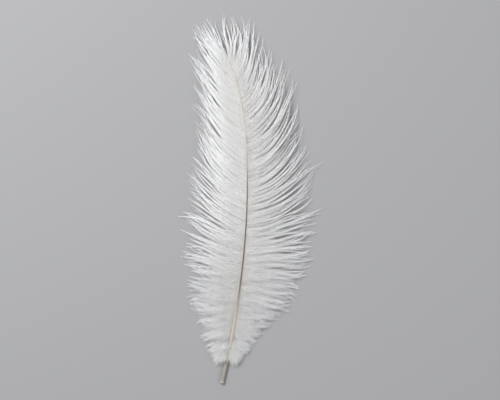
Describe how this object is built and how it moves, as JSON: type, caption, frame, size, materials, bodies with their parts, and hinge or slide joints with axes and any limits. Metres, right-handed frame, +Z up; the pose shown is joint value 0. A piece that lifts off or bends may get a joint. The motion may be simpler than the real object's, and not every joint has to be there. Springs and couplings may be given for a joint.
{
  "type": "ostrich feather",
  "caption": "White ostrich plume lying flat: a bare quill runs on as a tapering bowed shaft, with soft vanes of barbs in locks that fan out round the tip.",
  "frame": {"origin": "on the table that the feather lies on, below the middle of its length and width", "axes": "+Z up from the table, +Y along the feather from the quill's cut end to the tip, +X across to the wider vane"},
  "size_m": [0.1038, 0.2754, 0.013],
  "materials": {
    "barbs": "matte",
    "quill": "satin"
  },
  "bodies": {
    "root": {"feather": "barbs"}
  },
  "joints": []
}
